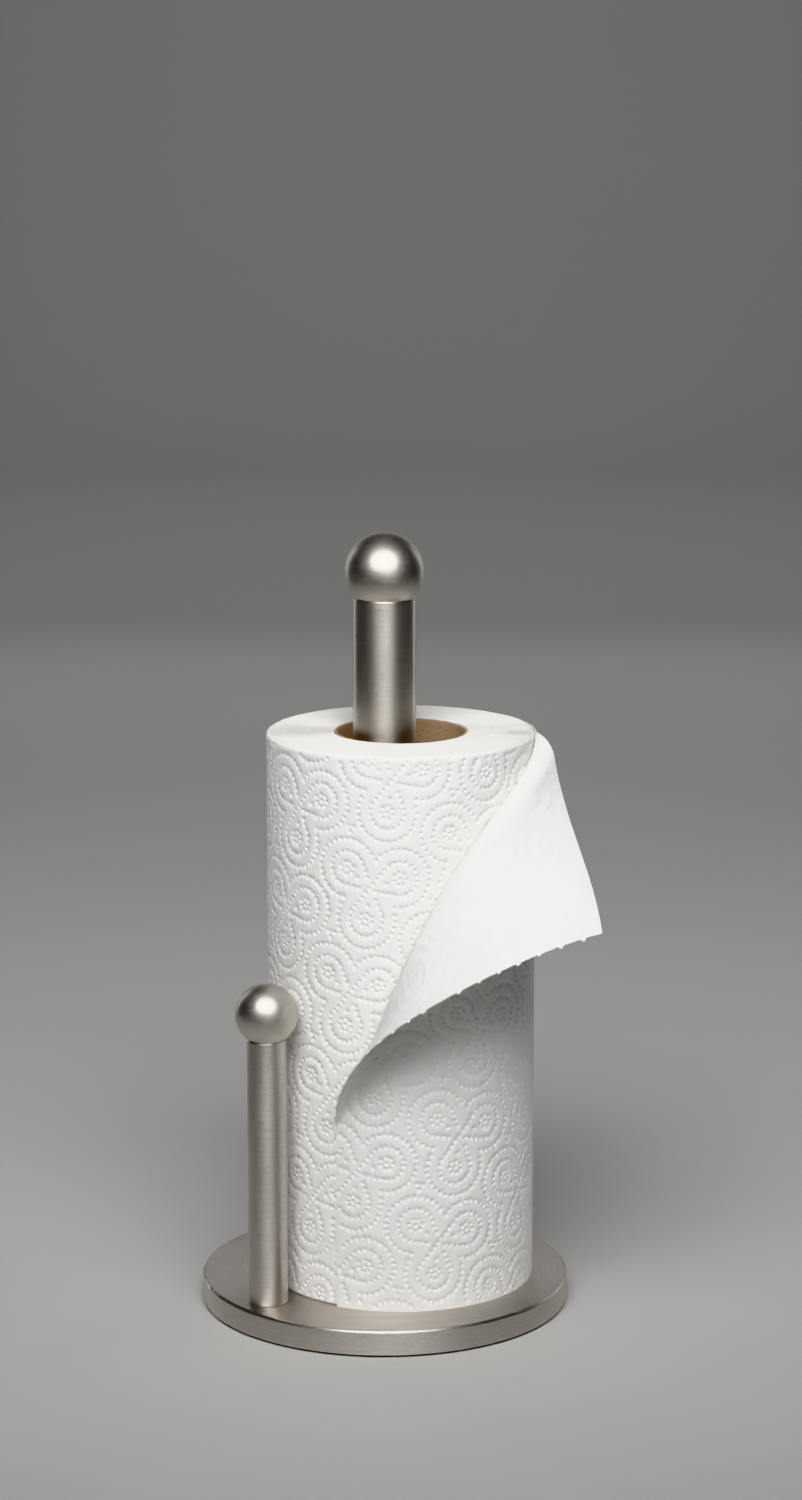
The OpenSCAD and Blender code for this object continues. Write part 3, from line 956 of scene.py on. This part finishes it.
def turns_group(material):
    """Edges of wound paper: one flat spiral bead, ruffled up and down."""
    tree, inputs, outputs = new_group(
        "wound_edges",
        [
            ("Inner Radius", "NodeSocketFloat"),
            ("Outer Radius", "NodeSocketFloat"),
            ("Turns", "NodeSocketFloat"),
            ("Bead", "NodeSocketFloat"),
            ("Ruffle", "NodeSocketFloat"),
            ("Centre", "NodeSocketVector"),
            ("Seed", "NodeSocketFloat"),
        ],
    )
    given = {socket.name: socket for socket in inputs.outputs}
    spiral = add(
        tree,
        "GeometryNodeCurveSpiral",
        {
            "Resolution": 84,
            "Rotations": given["Turns"],
            "Start Radius": given["Inner Radius"],
            "End Radius": given["Outer Radius"],
            "Height": 0.0,
        },
    )
    bead = add(tree, "GeometryNodeCurvePrimitiveCircle", {"Resolution": 4, "Radius": given["Bead"]})
    upright = add(tree, "GeometryNodeSetCurveNormal", {"Curve": spiral.outputs[0]}, mode="Z_UP")
    swept = add(
        tree,
        "GeometryNodeCurveToMesh",
        {"Curve": upright.outputs[0], "Profile Curve": bead.outputs[0], "Fill Caps": True},
    )
    place = add(tree, "GeometryNodeInputPosition").outputs[0]
    waves = add(
        tree,
        "ShaderNodeTexNoise",
        {"Vector": place, "W": given["Seed"], "Scale": 140.0, "Detail": 3.0},
        noise_dimensions="4D",
    ).outputs["Fac"]
    lift = maths(tree, "MULTIPLY", maths(tree, "SUBTRACT", waves, 0.5), given["Ruffle"])
    offset = add(tree, "ShaderNodeCombineXYZ", {2: maths(tree, "MULTIPLY", lift, 2.0)}).outputs[0]
    ruffled = add(tree, "GeometryNodeSetPosition", {"Geometry": swept.outputs[0], "Offset": offset})
    placed = add(
        tree, "GeometryNodeTransform", {"Geometry": ruffled.outputs[0], "Translation": given["Centre"]}
    )
    finish_group(tree, placed.outputs[0], outputs, material)
    return tree


def bonds_group(material):
    """Bonds of a perforation: small bridges in an upright row, each a little different."""
    tree, inputs, outputs = new_group(
        "perforation",
        [
            ("Count", "NodeSocketInt"),
            ("Start", "NodeSocketVector"),
            ("Step", "NodeSocketVector"),
            ("Bond Size", "NodeSocketVector"),
            ("Turn", "NodeSocketFloat"),
            ("Seed", "NodeSocketInt"),
        ],
    )
    given = {socket.name: socket for socket in inputs.outputs}
    row = add(
        tree,
        "GeometryNodeMeshLine",
        {"Count": given["Count"], "Start Location": given["Start"], "Offset": given["Step"]},
        mode="OFFSET",
    )
    bridge = add(tree, "GeometryNodeMeshCube", {"Size": given["Bond Size"], "Vertices X": 3})
    turn = add(tree, "ShaderNodeCombineXYZ", {2: given["Turn"]}).outputs[0]
    sizes = add(
        tree,
        "FunctionNodeRandomValue",
        {"Min": (0.8, 0.7, 0.55), "Max": (1.0, 1.0, 1.25), "Seed": given["Seed"]},
        data_type="FLOAT_VECTOR",
    )
    bonds = add(
        tree,
        "GeometryNodeInstanceOnPoints",
        {
            "Points": row.outputs["Mesh"],
            "Instance": bridge.outputs["Mesh"],
            "Rotation": turn,
            "Scale": sizes.outputs[0],
        },
    )
    finish_group(tree, bonds.outputs[0], outputs, material)
    return tree


# ---------------------------------------------------------------- operators


class HOLDER_OT_finish_base(bpy.types.Operator):
    """Gives the base's steel cap, iron weight and rubber disc their finishes"""

    bl_idname = "holder.finish_base"
    bl_label = "Finish the base"

    def execute(self, context):
        settings = context.scene.holder_finish
        axis = axis_of("base_shell")
        dress("base_shell", satin_steel("spun_steel", axis, settings, anisotropic=0.7, streak=0.14))
        dress("base_weight", cast_iron(settings))
        dress("base_pad", pad_rubber(settings))
        return {"FINISHED"}


class HOLDER_OT_finish_post(bpy.types.Operator):
    """Gives the post and its ball their brushed finish"""

    bl_idname = "holder.finish_post"
    bl_label = "Finish the post"

    def execute(self, context):
        settings = context.scene.holder_finish
        axis = axis_of("post_tube")
        dress("post_tube", satin_steel("post_steel", axis, settings, anisotropic=0.65, streak=0.09))
        dress("finial_ball", satin_steel("finial_steel", axis, settings, anisotropic=0.15, streak=0.05))
        return {"FINISHED"}


class HOLDER_OT_finish_arm(bpy.types.Operator):
    """Gives the side arm and its ball their brushed finish"""

    bl_idname = "holder.finish_arm"
    bl_label = "Finish the side arm"

    def execute(self, context):
        settings = context.scene.holder_finish
        axis = axis_of("arm_tube")
        dress("arm_tube", satin_steel("arm_steel", axis, settings, anisotropic=0.65, streak=0.12))
        dress("arm_ball", satin_steel("arm_ball_steel", axis, settings, anisotropic=0.15, streak=0.05))
        return {"FINISHED"}


class HOLDER_OT_finish_fasteners(bpy.types.Operator):
    """Gives the screws, washers, studs and inserts their zinc plate"""

    bl_idname = "holder.finish_fasteners"
    bl_label = "Finish the fasteners"

    def execute(self, context):
        material = zinc_plate(context.scene.holder_finish)
        for place in ("post", "arm"):
            for part in ("foot_insert", "top_insert", "bolt", "flat_washer", "spring_washer"):
                dress(f"{place}_{part}", material)
        dress("finial_stud", material)
        dress("arm_stud", material)
        return {"FINISHED"}


class HOLDER_OT_make_core(bpy.types.Operator):
    """Makes the roll's board core, with the seams of its plies"""

    bl_idname = "holder.make_core"
    bl_label = "Make the core"

    def execute(self, context):
        core = make_core(core_board(context.scene.holder_finish))
        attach(core, "core")
        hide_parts("roll_core")
        return {"FINISHED"}


class HOLDER_OT_make_winding(bpy.types.Operator):
    """Makes the wound paper under the outermost towel"""

    bl_idname = "holder.make_winding"
    bl_label = "Make the wound paper"

    def execute(self, context):
        scene = context.scene
        skin = towel_paper("wound_paper", scene.holder_finish, WOUND_CREPE)
        ends = cut_paper(scene.holder_finish)
        roll = make_winding(scene.holder_peel, scene.holder_emboss, skin, ends)
        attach(roll, "paper")
        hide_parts("paper_winding")
        return {"FINISHED"}


class HOLDER_OT_make_turns(bpy.types.Operator):
    """Makes the edges of the paper's turns at both ends of the roll"""

    bl_idname = "holder.make_turns"
    bl_label = "Make the edges of the turns"

    def execute(self, context):
        settings = context.scene.holder_ends
        tree = turns_group(bpy.data.materials["cut_paper"])
        for name, level, seed in (("top_turns", ROLL_H, 1.0), ("foot_turns", 0.3 * MM, 5.0)):
            piece = baked(
                name,
                tree,
                {
                    "Inner Radius": float(ROLL_BORE + 2 * settings.bead),
                    "Outer Radius": float(WINDING_R - END_ROUNDING),
                    "Turns": float(settings.turns),
                    "Bead": settings.bead,
                    "Ruffle": settings.ruffle,
                    "Centre": (float(ROLL_AXIS[0]), float(ROLL_AXIS[1]), float(ROLL_FOOT + level)),
                    "Seed": seed,
                },
            )
            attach(piece, "paper")
        return {"FINISHED"}


class HOLDER_OT_make_towel(bpy.types.Operator):
    """Makes the outermost towel with its top corner peeled back"""

    bl_idname = "holder.make_towel"
    bl_label = "Make the peeled towel"

    def execute(self, context):
        scene = context.scene
        peel = scene.holder_peel
        material = towel_paper("towel_paper", scene.holder_finish, TOWEL_CREPE)
        towel = make_towel(peel, scene.holder_emboss, material)
        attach(towel, "paper")
        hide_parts("loose_towel")
        return {"FINISHED"}


class HOLDER_OT_make_perforation(bpy.types.Operator):
    """Makes the bonds that still join the outermost towel to the next one"""

    bl_idname = "holder.make_perforation"
    bl_label = "Make the perforation"

    def execute(self, context):
        scene = context.scene
        peel = scene.holder_peel
        turn = peel.free_edge + peel.towel_length / ROLL_R
        reach = ROLL_R - 0.16 * MM
        start = Vector(
            (
                ROLL_AXIS[0] + reach * math.cos(turn),
                ROLL_AXIS[1] + reach * math.sin(turn),
                ROLL_FOOT + 0.5 * peel.bond_pitch,
            )
        )
        piece = baked(
            "perforation_bonds",
            bonds_group(bpy.data.materials["towel_paper"]),
            {
                "Count": int(ROLL_H / peel.bond_pitch),
                "Start": start,
                "Step": (0, 0, peel.bond_pitch),
                "Bond Size": (0.22 * MM, 0.7 * MM, 1.1 * MM),
                "Turn": float(turn),
                "Seed": SEED,
            },
        )
        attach(piece, "paper")
        return {"FINISHED"}


class HOLDER_OT_set_stage(bpy.types.Operator):
    """Sets the pale floor, the soft lights and the camera"""

    bl_idname = "holder.set_stage"
    bl_label = "Set the stage"

    def execute(self, context):
        scene = context.scene
        stage = scene.holder_stage
        add_camera(scene, stage)
        add_floor(stage)
        add_lights(scene)
        return {"FINISHED"}


def add_camera(scene, stage):
    """The camera in front of the holder, looking a little down."""
    data = bpy.data.cameras.new("camera")
    data.lens = stage.lens
    data.sensor_width = 36
    data.sensor_fit = "AUTO"
    data.shift_y = stage.camera_rise
    data.clip_start = 0.05
    data.clip_end = 50
    camera = bpy.data.objects.new("camera", data)
    camera.location = (stage.camera_x, -stage.camera_back, stage.camera_up)
    camera.rotation_euler = (math.pi / 2 - stage.camera_pitch, 0, 0)
    scene.collection.objects.link(camera)
    scene.camera = camera


def add_floor(stage):
    """A floor that sweeps up into a backdrop behind the holder."""
    material, tree, shader = new_finish("stage_paper", stage.floor, 0.75)
    cloud = noise(tree, add(tree, "ShaderNodeTexCoord").outputs["Object"], 3.0)
    base = np.array(stage.floor)
    tints = mix_tints(tree, cloud, colour(base * 0.985), colour(base * 1.01))
    tree.links.new(tints, shader.inputs["Base Color"])
    front, sweep_start, sweep, top = -6.0, 2.6, 0.9, 4.5
    turns = np.linspace(0, math.pi / 2, 13)
    curve = [(sweep_start + sweep * math.sin(turn), sweep * (1 - math.cos(turn))) for turn in turns]
    outline = [(front, 0.0), *curve, (sweep_start + sweep, top)]
    across = np.linspace(-5, 5, 3)
    points = [(x, y, z) for y, z in outline for x in across]
    width = len(across)
    faces = [
        (j * width + i, j * width + i + 1, (j + 1) * width + i + 1, (j + 1) * width + i)
        for j in range(len(outline) - 1)
        for i in range(width - 1)
    ]
    mesh = bpy.data.meshes.new("floor")
    mesh.from_pydata(points, [], faces)
    mesh.shade_smooth()
    mesh.materials.append(material)
    floor = bpy.data.objects.new("floor", mesh)
    bpy.context.scene.collection.objects.link(floor)


# Each light's place and target in metres, its width and height, its power in watts and its spread in degrees.
LIGHTS = {
    "key": ((-0.02, -0.70, 0.91), (0, 0, 0.30), (1.1, 0.5), 4.15, 80),
    "fill": ((0.35, -1.4, 0.25), (0, 0, 0.16), (1.0, 0.7), 1.15, 180),
    "back_sheet": ((0, 1.5, 0.55), (0, 0, 0.16), (1.8, 0.7), 1.2, 180),
    "left_strip": ((-0.75, 0.80, 0.40), (0, 0, 0.16), (0.04, 0.8), 0.4, 130),
    "right_strip": ((0.75, 0.80, 0.40), (0, 0, 0.16), (0.04, 0.8), 0.4, 130),
    "backdrop_light": ((0, 1.4, 2.2), (0, 3.3, 0.85), (1.8, 0.6), 22, 180),
}


def add_lights(scene):
    """Soft area lights, and a weak even light from all round."""
    for name, (place, target, size, power, spread_angle) in LIGHTS.items():
        data = bpy.data.lights.new(name, "AREA")
        data.shape = "RECTANGLE"
        data.size, data.size_y = size
        data.energy = power
        data.spread = math.radians(spread_angle)
        light = bpy.data.objects.new(name, data)
        light.location = place
        light.rotation_euler = (Vector(target) - Vector(place)).to_track_quat("-Z", "Y").to_euler()
        light.visible_camera = False
        scene.collection.objects.link(light)
    world = bpy.data.worlds.new("studio")
    world.use_nodes = True
    background = world.node_tree.nodes["Background"]
    background.inputs["Color"].default_value = (0.95, 0.97, 1.0, 1)
    background.inputs["Strength"].default_value = 0.025
    scene.world = world
    scene.view_settings.view_transform = "Khronos PBR Neutral"


OPERATORS = (
    HOLDER_OT_set_stage,
    HOLDER_OT_finish_base,
    HOLDER_OT_finish_post,
    HOLDER_OT_finish_arm,
    HOLDER_OT_finish_fasteners,
    HOLDER_OT_make_core,
    HOLDER_OT_make_winding,
    HOLDER_OT_make_turns,
    HOLDER_OT_make_towel,
    HOLDER_OT_make_perforation,
)
SETTINGS = {
    "holder_peel": PeelSettings,
    "holder_emboss": EmbossSettings,
    "holder_finish": FinishSettings,
    "holder_ends": RollEndSettings,
    "holder_stage": StageSettings,
}


class HOLDER_PT_panel(bpy.types.Panel):
    """Lists the steps that make the holder, and their settings"""

    bl_idname = "HOLDER_PT_panel"
    bl_label = "Roll Holder"
    bl_space_type = "VIEW_3D"
    bl_region_type = "UI"
    bl_category = "Roll Holder"

    def draw(self, context):
        for operator in OPERATORS:
            self.layout.operator(operator.bl_idname)
        for name in SETTINGS:
            box = self.layout.box()
            settings = getattr(context.scene, name)
            for prop in settings.bl_rna.properties:
                if not prop.is_readonly and prop.identifier != "name":
                    box.prop(settings, prop.identifier)


def register():
    """Adds the classes, and their settings on the scene."""
    for cls in (*SETTINGS.values(), *OPERATORS, HOLDER_PT_panel):
        bpy.utils.register_class(cls)
    for name, cls in SETTINGS.items():
        setattr(bpy.types.Scene, name, PointerProperty(type=cls))


def unregister():
    """Takes away what register added."""
    for name in SETTINGS:
        delattr(bpy.types.Scene, name)
    for cls in reversed((*SETTINGS.values(), *OPERATORS, HOLDER_PT_panel)):
        bpy.utils.unregister_class(cls)


def main():
    """Makes the whole holder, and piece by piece."""
    register()
    for operator in OPERATORS:
        group, name = operator.bl_idname.split(".")
        getattr(getattr(bpy.ops, group), name)()


if __name__ == "__main__":
    main()
